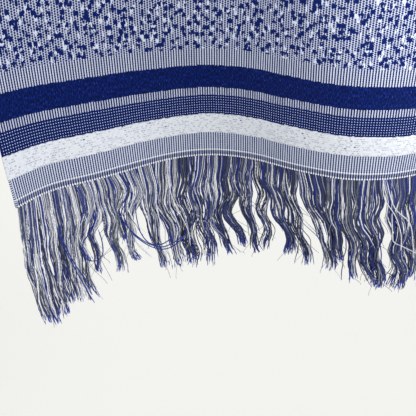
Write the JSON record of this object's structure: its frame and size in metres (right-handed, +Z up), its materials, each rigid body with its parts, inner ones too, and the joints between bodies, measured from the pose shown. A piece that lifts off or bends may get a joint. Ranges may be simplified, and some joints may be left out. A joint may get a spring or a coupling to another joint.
{
  "type": "knitted scarf",
  "caption": "Long knitted scarf with banded, fringed ends, worn open round the neck with both ends hanging in front; the neck space is empty.",
  "frame": {"origin": "where the inside of the scarf bears on the nape of the wearer's neck", "axes": "+Z up, -Y the way the wearer faces, +X to the right of someone who looks at the front"},
  "size_m": [0.6053, 0.3203, 0.9279],
  "materials": {
    "knit": "matt blue and white knit, banded near both ends",
    "yarn": "loose blue, white and grey yarn ends"
  },
  "bodies": {
    "root": {"neck_loop": "knit", "end_left": "knit", "end_right": "knit", "fringe_left": "yarn", "fringe_right": "yarn"}
  },
  "joints": []
}
